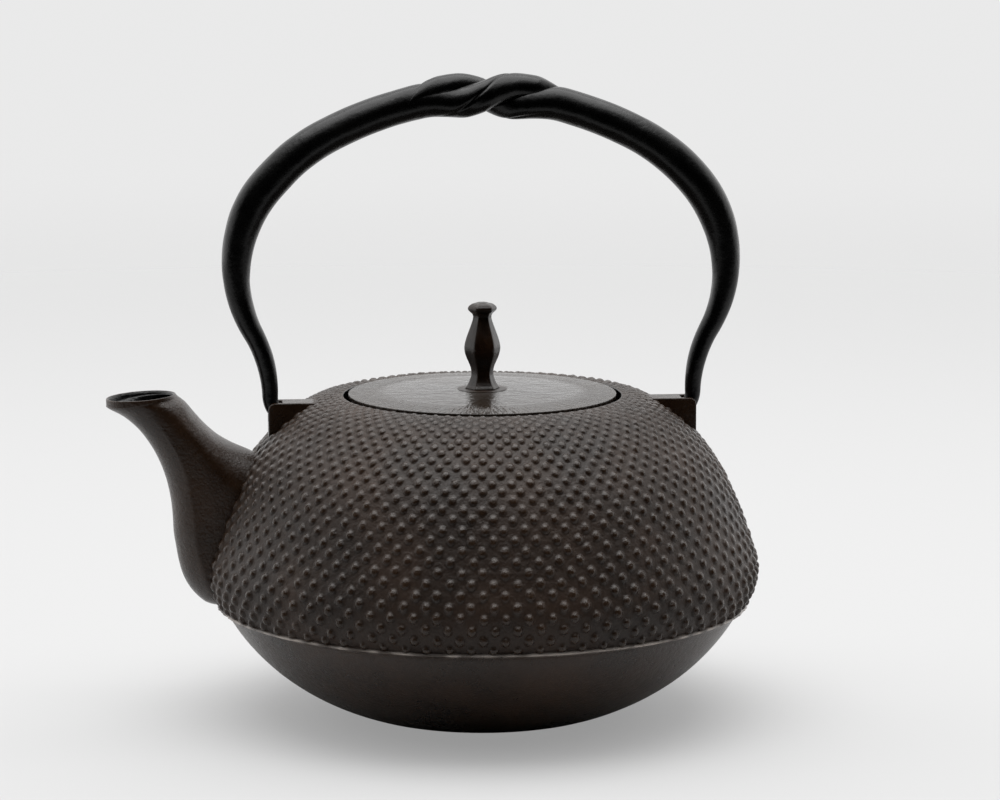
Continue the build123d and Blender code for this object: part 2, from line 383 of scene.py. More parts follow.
# linear colours of the iron's lacquer and of what shows through it; the bare iron colour is also a
# painted highlight on the flash
IRON_DARK = (0.012, 0.0058, 0.0026)
IRON_BROWN = (0.030, 0.0145, 0.0068)
IRON_GREY = (0.042, 0.027, 0.018)
IRON_BARE_AND_HIGHLIT = (0.42, 0.37, 0.33)
ENAMEL_BLACK = (0.0030, 0.0028, 0.0030)
ENAMEL_ROUGH = 0.09


def cast_iron(name, tone=1.0, gloss=0.0, specular=0.34, dotted=False):
    """Lacquered cast iron: brown-black, grainy, a little rusty in places and worn on high spots;
    the flash's worn bare colour is partly a painted highlight.
    """
    n = new_material(name)
    patches = n.noise(38.0, 5.0, 0.6)
    speckle = n.noise(900.0, 3.0, 0.6)
    grain = n.noise(1500.0, 4.0, 0.65)
    sand = n.noise(480.0, 3.0, 0.6)
    shades = (IRON_DARK, IRON_BROWN, IRON_GREY)
    dark, brown, grey = (tuple(tone * c for c in shade) for shade in shades)
    colour = n.mix(n.remap(patches, 0.35, 0.68), dark, brown)
    colour = n.mix(n.remap(speckle, 0.55, 0.8, 0.0, 0.4), colour, grey)
    rough = n.remap(n.math("ADD", sand, patches), 0.6, 1.4, 0.24 - gloss, 0.36 - gloss)
    if dotted:
        high = n.attribute("dot_height")
        colour = n.mix(n.remap(high, 0.3, 1.0, 0.0, 0.4), colour, grey)
        rough = n.math("ADD", rough, n.remap(high, 0.1, 0.6, 0.20, -0.10))
    # bare metal where the flash is worn, painted light enough to also stand in for the flash's
    # highlight
    colour = n.mix(n.attribute("worn_and_highlit_edge"), colour, IRON_BARE_AND_HIGHLIT)
    enamel = n.attribute("enamel")
    colour = n.mix(enamel, colour, ENAMEL_BLACK)
    n.bumps((sand, 0.00028 if dotted else 0.00020), (grain, 0.00015))
    return n.finish(colour, n.blend(enamel, rough, ENAMEL_ROUGH), specular=specular)


def lid_iron(name, ring_radius):
    """The lid's iron: a smooth middle and an outer ring with fine radial tooling."""
    n = new_material(name)
    split = n.add("ShaderNodeSeparateXYZ", {"Vector": n.place}).outputs
    x, y = split["X"], split["Y"]
    radius = n.math("POWER", n.math("ADD", n.math("MULTIPLY", x, x), n.math("MULTIPLY", y, y)), 0.5)
    ring = n.remap(radius, ring_radius - 0.0022, ring_radius + 0.0022)
    turn = n.math("MULTIPLY", n.math("ARCTAN2", y, x), 36.0)
    polar = n.add("ShaderNodeCombineXYZ", {"X": turn, "Y": n.math("MULTIPLY", radius, 160.0)})
    streak = n.noise(1.0, 3.0, 0.5, at=polar.outputs["Vector"])
    patches = n.noise(42.0, 5.0, 0.6)
    hammered = n.noise(330.0, 3.0, 0.6)
    grain = n.noise(1400.0, 3.0, 0.6)
    colour = n.mix(n.remap(patches, 0.35, 0.68), (0.013, 0.0085, 0.0055), (0.024, 0.0160, 0.0110))
    worn = n.math("MULTIPLY", ring, n.remap(streak, 0.45, 0.7, 0.0, 0.5))
    colour = n.mix(worn, colour, (0.060, 0.047, 0.038))
    middle = n.remap(patches, 0.3, 0.7, 0.08, 0.17)
    outer = n.remap(streak, 0.3, 0.7, 0.18, 0.30)
    tooling = n.math("MULTIPLY", ring, streak)
    n.bumps((hammered, 0.00045), (tooling, 0.00070), (grain, 0.00005))
    return n.finish(colour, n.blend(ring, middle, outer), specular=0.32)


def black_lacquer():
    """The bail: black baked lacquer over forged iron, satin with small hand-rubbed spots."""
    n = new_material("black_handle_lacquer")
    rubbed = n.noise(60.0, 5.0, 0.6)
    grain = n.noise(1100.0, 3.0, 0.6)
    hammered = n.noise(150.0, 2.0, 0.5)
    colour = n.mix(n.remap(rubbed, 0.45, 0.75), (0.0008, 0.0008, 0.0008), (0.0024, 0.0023, 0.0021))
    rough = n.remap(n.math("ADD", rubbed, grain), 0.7, 1.35, 0.22, 0.32)
    n.bumps((hammered, 0.00025), (grain, 0.00006))
    return n.finish(colour, rough, specular=0.26)


def bronzed(name, gloss):
    """Dark brown patina on the knob and its washers, with lighter rubbed places."""
    n = new_material(name)
    patches = n.noise(110.0, 4.0, 0.6)
    streaks = n.noise(420.0, 4.0, 0.6, stretch=(1, 1, 0.18))
    grain = n.noise(1500.0, 3.0, 0.6)
    colour = n.mix(n.remap(patches, 0.35, 0.7), (0.006, 0.0030, 0.0015), (0.022, 0.0105, 0.0050))
    colour = n.mix(n.remap(streaks, 0.5, 0.8, 0.0, 0.35), colour, (0.035, 0.019, 0.012))
    rough = n.remap(streaks, 0.3, 0.7, gloss, gloss + 0.12)
    n.bumps((patches, 0.00020), (grain, 0.00005))
    return n.finish(colour, rough, specular=0.32)


def steel(name, brushed):
    """Stainless steel; brushed gives fine turning marks round the axis."""
    n = new_material(name)
    stretch = (0.25, 0.25, 9.0) if brushed else (1, 1, 1)
    marks = n.noise(260.0, 5.0, 0.65, stretch=stretch)
    stain = n.noise(45.0, 4.0, 0.6)
    colour = n.mix(n.remap(stain, 0.3, 0.75), (0.60, 0.59, 0.57), (0.42, 0.40, 0.37))
    rough = n.remap(marks, 0.3, 0.7, 0.20, 0.36)
    n.bumps((marks, 0.00004), (stain, 0.00010))
    return n.finish(colour, rough, metallic=1.0)


BODY_IRON = cast_iron("cast_iron_dotted", dotted=True)
BOWL_IRON = cast_iron("cast_iron_smooth", tone=1.1, specular=0.50)
SPOUT_IRON = cast_iron("cast_iron_spout", tone=0.95, gloss=0.04, specular=0.36)
LUG_IRON = cast_iron("cast_iron_lugs", tone=0.85, gloss=0.04, specular=0.30)
BLACK = black_lacquer()
KNOB_BRONZE = bronzed("bronzed_knob_patina", 0.17)
WASHER_BRONZE = bronzed("bronzed_washer_patina", 0.34)
STEEL_SHEET = steel("steel_sheet_spun", True)
STEEL_WIRE = steel("steel_mesh_wire", False)


# ---- the shoulder with its dots
def dot_field(u, v, rows):
    """Height share from 0 to 1 of the raised dots; u is in pitches, v in half pitches."""
    rng = np.random.default_rng(SEED)
    shape = (rows + 4, DOTS_AROUND)
    shift_u = rng.normal(0.0, 0.030, shape)
    shift_v = rng.normal(0.0, 0.045, shape)
    tall = rng.uniform(0.82, 1.08, shape)
    wide = rng.uniform(0.93, 1.07, shape)
    size = 0.50 + 0.14 * smoothstep(0.3, 0.9, v / rows)
    height = np.zeros_like(u)
    for step in (-1, 0, 1, 2):
        row = np.floor(v - 0.5).astype(int) + step
        known = np.clip(row + 2, 0, rows + 3)
        offset = 0.5 * (row % 2)
        for side in (0, 1):
            column = np.floor(u - offset).astype(int) + side
            wrapped = column % DOTS_AROUND
            across = DOT_SLIM * 2.0 * (u - (column + offset + shift_u[known, wrapped]))
            along = v - (row + 0.5 + shift_v[known, wrapped])
            reach = size * wide[known, wrapped]
            near = np.clip(1.0 - (across ** 2 + along ** 2) / reach ** 2, 0.0, 1.0)
            present = (row >= 0) & (row < rows)
            height = np.maximum(height, np.where(present, tall[known, wrapped] * near ** 0.6, 0))
    return height


def shoulder():
    """The upper half of the pot's wall, with its dots, mouth and seat, in closed sectors."""
    arc = arcs_length(SHELL_ARCS)
    fine = np.linspace(0.0, arc, 2000)
    ends, _ = arcs_at(PARTING, SHELL_HEADING, SHELL_ARCS, fine)
    flat = ends[-1, 0] - DOT_EDGE
    fine = np.append(fine, arc + flat)
    radii = np.append(ends[:, 0], DOT_EDGE)
    half_pitch = pi * radii / DOTS_AROUND
    steps = np.diff(fine) / (0.5 * (half_pitch[1:] + half_pitch[:-1]))
    rows_passed = np.concatenate([[0.0], np.cumsum(steps)])
    rows = int(rows_passed[-1])
    count = rows * SAMPLES + 1
    v = np.linspace(0.0, rows_passed[-1], count)
    travelled = np.interp(v, rows_passed, fine)
    points, heading = arcs_at(PARTING, SHELL_HEADING, SHELL_ARCS, np.minimum(travelled, arc))
    beyond = travelled > arc
    points[beyond, 0] -= travelled[beyond] - arc  # the flat strip beside the mouth
    heading[beyond] = 180.0
    outward = unit(heading - 90.0)

    columns = DOTS_AROUND * 2 * SAMPLES
    u = np.arange(columns) / (2.0 * SAMPLES)
    uu, vv = np.meshgrid(u, v * rows / rows_passed[-1])
    dots = dot_field(uu, vv, rows)
    fade = smoothstep(0.0, 0.45, vv)
    scale = (points[:, 0] / PARTING[0])[:, None] ** 0.55
    scale = scale * (1.0 + 0.45 * (1.0 - smoothstep(2.0, 7.0, vv)))
    grain = 0.045 * soft_noise(uu * 5.0, vv * 2.5, DOTS_AROUND * 5, SEED + 1)
    grain += 0.030 * soft_noise(uu * 9.0, vv * 4.5, DOTS_AROUND * 9, SEED + 2)
    swell = 0.12 * soft_noise(uu / 6.0, vv / 3.0, DOTS_AROUND // 6, SEED + 3)
    edge_fade = smoothstep(0.0, 1.2, (points[:, 0] - SEAT_RADIUS))[:, None]
    raised = (GROUND + DOT_HEIGHT * scale * dots + grain + swell) * edge_fade * fade
    radius = points[:, :1] + raised * outward[:, :1]
    height = points[:, 1:] + raised * outward[:, 1:]

    inner = wall_inside(PARTING, SHELL_HEADING, SHELL_ARCS, 30)
    top_z = height[-1].mean()
    steps = [(DOT_EDGE, top_z), (SEAT_RADIUS, RIM_TOP), (SEAT_RADIUS, SEAT_Z)]
    steps += [(MOUTH_RADIUS, SEAT_Z), (MOUTH_RADIUS, LEDGE_Z), (SEAT_RADIUS, LEDGE_Z + 0.8)]
    mouth = rounded([*steps, inner[-1]], (0.35, 0.25, 0.5, 0.6, 0.6))[1:-1]
    plain = np.concatenate([mouth, inner[::-1]])
    radius, height = map(np.concatenate, zip((radius, height), spread(plain, columns)))
    enamel = np.zeros((len(height), columns))
    enamel[count:] = plain[:, :1] < SEAT_RADIUS + 0.1
    enamel[-len(inner):] = 1.0
    dots = np.concatenate([dots * fade, np.zeros((len(plain), columns))])

    cloud = around_axis(radius, circle(columns), height)
    around = np.roll(cloud, -1, axis=1) - np.roll(cloud, 1, axis=1)
    along = np.roll(cloud, -1, axis=0) - np.roll(cloud, 1, axis=0)
    normals = normalised(np.cross(around, along))

    width = columns // SECTORS
    for sector in range(SECTORS):
        first = width // 2 + sector * width
        chosen = np.arange(first, first + width + 1) % columns
        part = cloud[:, chosen].reshape(-1, 3)
        loop = np.arange(len(cloud)) * (width + 1)
        caps = np.stack([loop, loop[::-1] + width])
        polygons = [grid_quads(len(cloud), width + 1, wrap_rows=True), caps]
        mesh = make_mesh(f"pot_shoulder_{sector + 1}", part, polygons)
        paint(mesh, "dot_height", dots[:, chosen])
        paint(mesh, "enamel", enamel[:, chosen])
        mesh.normals_split_custom_set_from_vertices(normals[:, chosen].reshape(-1, 3))
        add_piece(mesh, BODY_IRON, *POT)


# ---- the bowl under the parting line
FLASH_SHARE = np.array([0.2, 0.8, 1.0, 1.0, 0.7])  # how much of the ragged flash each row has
FLASH_WORN_AND_HIGHLIT = np.array([0.3, 1.0, 1.0, 0.9, 0.3])  # and how far it is worn bare and painted bright as its highlight
FLASH_LIP = ((80.1, 32.9), (80.95, 33.1), (81.25, 33.3), (81.15, 33.6), (80.75, 34.0), (79.0, 34.8))


def bowl():
    """The plain lower half, with the thin ragged flash that the mould left at its top."""
    columns = 720
    travelled = np.linspace(0.0, arcs_length(BOWL_ARCS), 46)
    outer, _ = arcs_at((BASE_RADIUS, 0.0), BASE_HEADING, BOWL_ARCS, travelled)
    inner = wall_inside((BASE_RADIUS, 0.0), BASE_HEADING, BOWL_ARCS, 24)
    joint_inner = inset_point(PARTING, SHELL_HEADING, WALL)
    foot = densify(rounded([(0, 0), (BASE_RADIUS - 0.6, 0), outer[1]], (1.2,))[:-1], 3.0)
    centre = [(0, inner[0, 1])]
    outline = np.concatenate([foot, outer[2:-1], FLASH_LIP, [joint_inner], inner[::-1], centre])
    lip_first = len(foot) + len(outer) - 4  # without the point on the axis

    def wobble(radius, height, angles):
        u = angles / (2 * pi)
        level = np.arange(len(radius))[:, None]
        share = np.zeros_like(radius)
        share[lip_first:lip_first + 5] = FLASH_SHARE[:, None]
        ragged = soft_noise(u * 180, 3.3, 180, SEED + 5)
        ragged = ragged + 0.7 * soft_noise(u * 400, 9.1, 400, SEED + 6)
        radius = radius + share * (0.06 + 0.26 * ragged)
        height = height + share * 0.14 * soft_noise(u * 60, 1.7, 60, SEED + 7)
        outside = (level > len(foot)) & (level < lip_first)
        soft = soft_noise(u * 40, height / 5.0, 40, SEED + 8)
        return radius + np.where(outside, 0.06 * soft, 0.0), height

    mesh = revolve("pot_bowl", outline, columns, closed=False, wobble=wobble)
    # the flash's worn bare band, painted bright also as the highlight it catches
    worn = np.zeros((len(outline) - 2, 1))
    worn[lip_first:lip_first + 5, 0] = FLASH_WORN_AND_HIGHLIT
    around = np.arange(columns) / columns
    wear_and_highlight_breaks = soft_noise(around * 150, 0, 150, SEED + 15)
    wear_and_highlight_breaks = wear_and_highlight_breaks + 0.6 * soft_noise(around * 30, 0, 30, SEED + 16)
    worn = worn * np.clip(0.70 + 0.8 * wear_and_highlight_breaks, 0.15, 1.0)
    paint(mesh, "worn_and_highlit_edge", np.append(worn, (0.0, 0.0)))
    inside = np.arange(len(outline) - 2) > lip_first + 5
    paint(mesh, "enamel", np.append(np.repeat(inside * 1.0, columns), (0.0, 1.0)))
    add_piece(mesh, BOWL_IRON, *POT)


# ---- the spout
# stations from the root to the lip: outer edge (x, z), upper edge (x, z), half-width,
# place of the ridge and how much the section is a keel (1) or an ellipse (0)
SPOUT_STATIONS = (
    (-78.6, 33.2, -68.6, 79.6, 11.2, 0.04, 1.0),
    (-85.4, 34.7, -71.3, 81.0, 11.6, 0.12, 1.0),
    (-91.2, 41.8, -74.3, 82.3, 11.7, 0.24, 1.0),
    (-93.9, 53.4, -77.6, 83.9, 11.5, 0.33, 1.0),
    (-95.0, 66.0, -81.2, 86.2, 11.1, 0.35, 0.95),
    (-97.4, 75.8, -84.6, 89.3, 10.6, 0.36, 0.85),
    (-101.9, 84.5, -87.6, 92.6, 9.9, 0.37, 0.65),
    (-107.6, 90.8, -90.1, 95.7, 9.5, 0.38, 0.35),
    (-113.6, 94.4, -92.4, 97.6, 9.6, 0.40, 0.0),
    (-114.1, 95.2, -92.8, 98.0, 9.7, 0.40, 0.0),
    (-114.2, 96.9, -93.1, 98.3, 9.7, 0.40, 0.0),
)
SPOUT_WALL = 2.8
LIP_WALL = 0.6  # the wall thins to this at the lip
LIP_ROUND = 0.28
RIDGE_SHARE = 0.92  # half-width of the keel at its ridge
BELLY = 0.72  # the keel is widest here, from its outer edge to its upper one


def spout_section(station, around, wall=0.0):
    """One closed section of the spout; around is half the number of its points."""
    outer_x, outer_z, upper_x, upper_z, half_width, ridge, keel = station
    share = 0.5 - 0.5 * np.cos(np.linspace(0.0, pi, around + 1))
    ellipse = np.sqrt(np.clip(1.0 - (2.0 * share - 1.0) ** 2, 0.0, 1.0))
    nose = np.sqrt(np.clip(1.0 - (1.0 - share / (2.0 * ridge)) ** 2, 0.0, 1.0))
    nose = nose * RIDGE_SHARE / sqrt(0.75)
    flank = RIDGE_SHARE + (1.0 - RIDGE_SHARE) * smoothstep(ridge - 0.12, BELLY, share)
    back = np.sqrt(np.clip(1.0 - ((share - BELLY) / (1.0 - BELLY)) ** 2, 0.0, 1.0))
    shape = np.where(share < ridge, nose, np.where(share < BELLY, flank, back))
    width = half_width * (keel * shape + (1.0 - keel) * ellipse)
    outer, upper = np.array([outer_x, outer_z]), np.array([upper_x, upper_z])
    length = np.linalg.norm(upper - outer)
    if wall > 0.0:
        width = (half_width - wall * 0.8) * ellipse
        share = wall / length + share * (1.0 - 2.0 * wall / length)
    line = outer + share[:, None] * (upper - outer)
    near, far = (np.stack([line[:, 0], y, line[:, 1]], axis=-1) for y in (-width, width))
    return np.concatenate([near, far[-2:0:-1]])


def spout():
    """Outer horn, rounded lip and inner channel in one closed skin."""
    around = 60
    stations = np.array(SPOUT_STATIONS)
    last = len(stations) - 1
    places = np.concatenate([np.linspace(0.0, 8.0, 110), np.linspace(8.05, last, 14)])
    rows = [spout_section(station, around) for station in catmull(stations, places)]
    lip = stations[-1]
    up = normalised(np.array([lip[1] - lip[3], lip[2] - lip[0]]))
    for turn in np.radians([22.0, 45.0, 70.0, 90.0, 112.0, 140.0, 170.0]):
        row = spout_section(lip, around, wall=LIP_ROUND * (1.0 - cos(turn)) + 1e-3)
        rise = LIP_ROUND * sin(turn)
        rows.append(row + np.array([up[0] * rise, 0.0, up[1] * rise]))
    inner_places = np.concatenate([np.linspace(last, 8.0, 8), np.linspace(7.8, 1.0, 40)])
    for place, station in zip(inner_places, catmull(stations, inner_places)):
        deep = ((last - place) / (last - 1.0)) ** 0.6
        rows.append(spout_section(station, around, LIP_WALL + (SPOUT_WALL - LIP_WALL) * deep))
    points = np.array(rows)
    count = points.shape[1]
    flat = points.reshape(-1, 3)
    rough = soft_noise(flat[:, 2] / 4.0, flat[:, 0] / 4.0 + flat[:, 1] / 5.0, 200, SEED + 9)
    flat = flat + 0.06 * rough[:, None] * np.array([1.0, 0.0, 0.3])
    quads = grid_quads(len(rows), count, wrap_rows=True, wrap_columns=True)
    mesh = make_mesh("pot_spout", flat, [quads])
    channel = np.arange(len(rows)) > len(places) + 5
    paint(mesh, "enamel", np.repeat(channel * 1.0, count))
    add_piece(mesh, SPOUT_IRON, *POT)


# ---- the lugs
LUG_REACH = 65.2
LUG_ROOT = 46.0
LUG_BOTTOM = 82.0
LUG_TOP = 95.6
LUG_THICKNESS = 8.6
LUG_CORNER = 2.4
SLOT_WIDTH = 5.4
SLOT_INNER = 60.9
SLOT_FLOOR = 89.2
PIVOT_Z = 91.8
PEG_RADIUS = 1.9


def bevel(mesh, width, segments):
    """Round the sharp edges of a small mesh."""
    shape = bmesh.new()
    shape.from_mesh(mesh)
    bmesh.ops.remove_doubles(shape, verts=shape.verts, dist=1e-6)
    shape.normal_update()
    sharp = [e for e in shape.edges if e.is_manifold and e.calc_face_angle(0.0) > radians(35)]
    bmesh.ops.bevel(
        shape, geom=sharp, offset=width * MM, segments=segments, profile=0.5, affect="EDGES",
        clamp_overlap=True,
    )
    shape.to_mesh(mesh)
    shape.free()


def prism(name, outline, low, high):
    """A prism along Y from an outline of (x, z) points."""
    count = len(outline)
    near, far = (np.insert(outline, 1, y, axis=1) for y in (low, high))
    here = np.arange(count)
    after = (here + 1) % count
    sides = np.stack([here, here + count, after + count, after], axis=-1)
    caps = np.stack([here, (here + count)[::-1]])
    return make_mesh(name, np.concatenate([near, far]), [sides, caps])


def cut(mesh, tool_mesh):
    """Take one closed mesh away from another."""
    base, tool = new_object("base", mesh), new_object("tool", tool_mesh)
    modifier = base.modifiers.new("cut", "BOOLEAN")
    modifier.operation = "DIFFERENCE"
    modifier.solver = "EXACT"
    modifier.object = tool
    graph = bpy.context.evaluated_depsgraph_get()
    result = bpy.data.meshes.new_from_object(base.evaluated_get(graph), depsgraph=graph)
    for item in (base, tool):
        bpy.data.objects.remove(item)
    return result


def lug(name, side):
    """One fin on the shoulder: a slot between two cheeks takes the foot of the bail."""
    corners = [(LUG_ROOT, LUG_BOTTOM), (LUG_REACH, LUG_BOTTOM), (LUG_REACH, LUG_TOP)]
    outline = rounded([*corners, (LUG_ROOT, LUG_TOP)], (0.5, LUG_CORNER), steps=9)
    half = LUG_THICKNESS / 2
    block = prism("block", outline * (side, 1.0), -half * side, half * side)
    beyond, above = LUG_REACH + 2.0, LUG_TOP + 2.0
    slot = [(beyond, SLOT_FLOOR), (SLOT_INNER, SLOT_FLOOR), (SLOT_INNER, above), (beyond, above)]
    slot = rounded(slot, (1.0, 0.01), steps=6)[::-1]
    tool = prism("slot", slot * (side, 1.0), -SLOT_WIDTH / 2 * side, SLOT_WIDTH / 2 * side)
    block = cut(block, tool)
    block.name = name
    bevel(block, 0.42, 3)
    block.shade_smooth()
    block.set_sharp_from_angle(angle=radians(40))
    add_piece(block, LUG_IRON, *POT)


# ---- the bail
HOOK_START = 60.8
PEG_TIP = 57.0
BAIL_ARCS = ((3.2, 62.0), (8.0, 28.0), (40.0, -28.75), (40.0, 68.5), (61.0, 23.0), (101.0, 27.25))
# thickness of the bar: arc number and share as one number, half-thickness in the XZ plane, across
BAR_THICKNESS = (
    (-1.0, 1.90, 1.90), (0.0, 1.90, 1.90), (0.5, 2.05, 2.05), (1.0, 2.25, 2.15), (2.0, 2.40, 2.20),
    (2.5, 2.80, 3.10), (3.0, 3.15, 3.60), (3.35, 4.00, 4.60), (3.55, 4.70, 5.20),
    (3.78, 5.35, 5.80), (4.0, 5.60, 6.00), (5.0, 5.35, 5.70), (6.0, 5.10, 5.50),
)
TWIST_TOP = 188.2  # height of the twist's own axis at the middle
# turn of the left bar round the twist's axis along X: 0 is the front, 90 the top
TWIST_TURNS = (
    (-40, -250), (-28, -215), (-21, -165), (-15.5, -118), (-12, -90), (-5.5, -43), (0.7, 0),
    (5.2, 45), (10.5, 88), (17, 105), (22, 118), (40, 150),
)
STRAND_OFFSET = 3.0
TIP_LIFT = 5.2  # a strand's thin tip lies this far out, on the other bar's skin
STRAND_SIZE = (4.1, 4.75)  # half-thickness of a strand, outwards and sideways
BAR_STEP, TWIST_STEP = 0.5, 0.2
TWIST_REACH = 36  # the twist lies between these x on both sides,
TWIST_FLOOR = 150.0  # and above this height
FOLD_CREASE = (2.2, 0.62)  # where round a strand its raised fold and its crease run, in radians
# for each bar: where it turns into a strand, where its strand ends and how long its tip is
STRANDS = {1: (7.0, 25.0, -26.0, 19.0), -1: (3.0, 19.0, 23.0, 8.0)}


def bail_line():
    """Centre line of the right half from the peg's tip to the middle, and its half-thicknesses."""
    lengths = np.array([abs(r * radians(t)) for r, t in BAIL_ARCS])
    total = lengths.sum()
    travelled = np.concatenate([np.linspace(0.0, 12.0, 40)[:-1], np.linspace(12.0, total, 230)])
    points, _ = arcs_at((HOOK_START, PIVOT_Z), 0.0, BAIL_ARCS, travelled)
    edges = np.concatenate([[0.0], np.cumsum(lengths)])
    number = np.interp(travelled, edges, np.arange(len(edges)))
    thick = smooth_table(BAR_THICKNESS, number)
    peg = np.linspace(PEG_TIP, HOOK_START, 6)[:-1]
    points = np.concatenate([np.column_stack([peg, np.full(5, PIVOT_Z)]), points])
    thick = np.concatenate([np.full((5, 2), PEG_RADIUS), thick])
    return points, thick


def whole_line():
    """The bail's centre line from the right peg to the left one, its thicknesses and distances."""
    points, thick = bail_line()
    line = np.concatenate([points, points[-2::-1] * (-1.0, 1.0)])
    size = np.concatenate([thick, thick[-2::-1]])
    along = np.concatenate([[0.0], np.cumsum(np.linalg.norm(np.diff(line, axis=0), axis=1))])
    places = [0.0]
    while places[-1] < along[-1]:
        x, z = (np.interp(places[-1], along, line[:, k]) for k in (0, 1))
        fine = abs(x) < TWIST_REACH and z > TWIST_FLOOR
        places.append(places[-1] + (TWIST_STEP if fine else BAR_STEP))
    places = np.minimum(places, along[-1])
    line, size = (
        np.column_stack([np.interp(places, along, values[:, k]) for k in (0, 1)])
        for values in (line, size)
    )
    return line, size, places


def bar(name, side):
    """One bar of the bail with its strand of the twist: side is 1 for the right bar, -1 left."""
    line, size, places = whole_line()
    tangent = normalised(np.gradient(line, axis=0))
    normal = np.column_stack([tangent[:, 1], -tangent[:, 0]])
    top = line[:, 1] > TWIST_FLOOR
    x = line[:, 0]
    high = np.where(top, 1.0 - smoothstep(12.0, 42.0, np.abs(x)), 0.0)
    line[:, 1] += (TWIST_TOP - line[len(line) // 2, 1]) * high

    strand_full, strand_start, tip, tip_length = STRANDS[side]
    keep = (x * side > tip * side) | ~top
    keep &= (x * side > 0) | top
    line, size, places, normal, x, top = (a[keep] for a in (line, size, places, normal, x, top))
    twist = np.where(top, 1.0 - smoothstep(strand_full, strand_start, x * side), 0.0)[:, None]
    full = np.where(top, smoothstep(tip * side - 1.0, tip * side + tip_length, x * side), 1.0)
    full = full[:, None]
    taper = 0.12 + 0.88 * full ** 0.7
    turn = smooth_table(TWIST_TURNS, np.clip(x, -TWIST_REACH, TWIST_REACH))
    turn = np.radians(turn + (180.0 if side > 0 else 0.0))

    angle = circle(128)
    upward = np.cos(angle) * np.sin(turn) + np.sin(angle) * np.cos(turn)
    frontward = np.cos(angle) * np.cos(turn) - np.sin(angle) * np.sin(turn)
    in_plane, across = size[:, :1], size[:, 1:]
    plain = in_plane * across / np.sqrt((across * upward) ** 2 + (in_plane * frontward) ** 2)
    outward, sideways = STRAND_SIZE
    strand = (sideways * np.cos(angle)) ** 2 + (outward * np.sin(angle)) ** 2
    strand = outward * sideways / np.sqrt(strand)

    def uneven(laps, pitch, seed):
        return soft_noise(angle / (2 * pi) * laps, places[:, None] / pitch, laps, seed)

    fold, crease = ((angle - at + pi) % (2 * pi) - pi for at in FOLD_CREASE)
    strand = strand + 0.42 * np.exp(-(np.abs(fold) / 0.3) ** 1.3)
    hammered = uneven(7, 6.0, SEED + 14)
    strand = strand - (0.30 + 0.2 * hammered) * np.exp(-(crease / 0.16) ** 2) + 0.16 * hammered
    reach = plain * (1.0 - twist) + strand * taper * twist
    offset = (TIP_LIFT + (STRAND_OFFSET + outward - TIP_LIFT) * full - outward * taper) * twist
    forged = 0.11 * uneven(6, 11.0, SEED + 12) + 0.035 * uneven(14, 4.0, SEED + 13)
    near = np.abs(x[:, None]) < 56.0
    calm = np.where(top[:, None] | ~near, smoothstep(105.0, 125.0, line[:, 1:]), 1.0)
    reach = reach + calm * forged * (1.0 - twist * (1.0 - taper))

    up = offset * np.sin(turn) + reach * upward
    front = offset * np.cos(turn) + reach * frontward
    side_on = line[:, :1] + up * normal[:, :1]
    cloud = np.stack([side_on, -front, line[:, 1:] + up * normal[:, 1:]], axis=-1)
    mesh = closed_tube(name, cloud, [cloud[0].mean(axis=0), cloud[-1].mean(axis=0)])
    add_piece(mesh, BLACK, "bail", "black_handle", "bail_handle")


# ---- the lid and its knob
LID_RADIUS = LID_HIGH[0]
LID_CROWN = LID_HIGH[2]
LID_UNDER = 95.85
LID_EDGE_TOP = 97.5
LID_RING = 31.0  # the tooled ring starts at this radius
SKIRT_RADIUS = 34.0
TANG_HOLE = 2.2


def lid():
    """Flat cast lid: low dome, a shallow step before the tooled ring, rounded edge and skirt."""
    inner, outer = 9.8, LID_RADIUS - 0.25
    radii = np.linspace(inner, outer, 60)
    share = (radii - inner) / (outer - inner)
    dome = LID_CROWN - (LID_CROWN - LID_EDGE_TOP) * (0.35 * share + 0.65 * share ** 2.2)
    dome -= 0.07 * smoothstep(LID_RING - 1.5, LID_RING, radii)
    dome += 0.07 * smoothstep(LID_RING + 0.6, LID_RING + 3.0, radii)
    top = np.column_stack([radii, dome])[::-1]
    under = [
        (TANG_HOLE, LID_CROWN - 0.4), (TANG_HOLE, LID_UNDER), (SKIRT_RADIUS - 2.0, LID_UNDER),
        (SKIRT_RADIUS - 2.0, LID_LOW[2]), (SKIRT_RADIUS, LID_LOW[2]), (SKIRT_RADIUS, LID_UNDER),
        (LID_RADIUS, LID_UNDER), (LID_RADIUS, LID_EDGE_TOP), top[0],
    ]
    under = rounded(under, (0.3, 0.8, 0.6, 0.6, 0.5, 0.8, 0.2))
    outline = np.concatenate([under[:-1], top, [(TANG_HOLE + 0.4, LID_CROWN)]])

    def wobble(radius, height, angles):
        soft = soft_noise(angles / (2 * pi) * 24, radius / 6.0, 24, SEED + 20)
        up = height > LID_EDGE_TOP
        return radius + 0.03 * soft, height + np.where(up, 0.035 * soft, 0.0)

    mesh = revolve("lid_dome", outline, 360, closed=True, wobble=wobble)
    material = lid_iron("cast_iron_lid_tooled", LID_RING * MM)
    add_piece(mesh, material, "lid", "cast_iron_lid", "lid_plate")


KNOB_FOOT = 98.95
KNOB_STRETCH = (KNOB_HIGH[2] - KNOB_FOOT) / 26.0
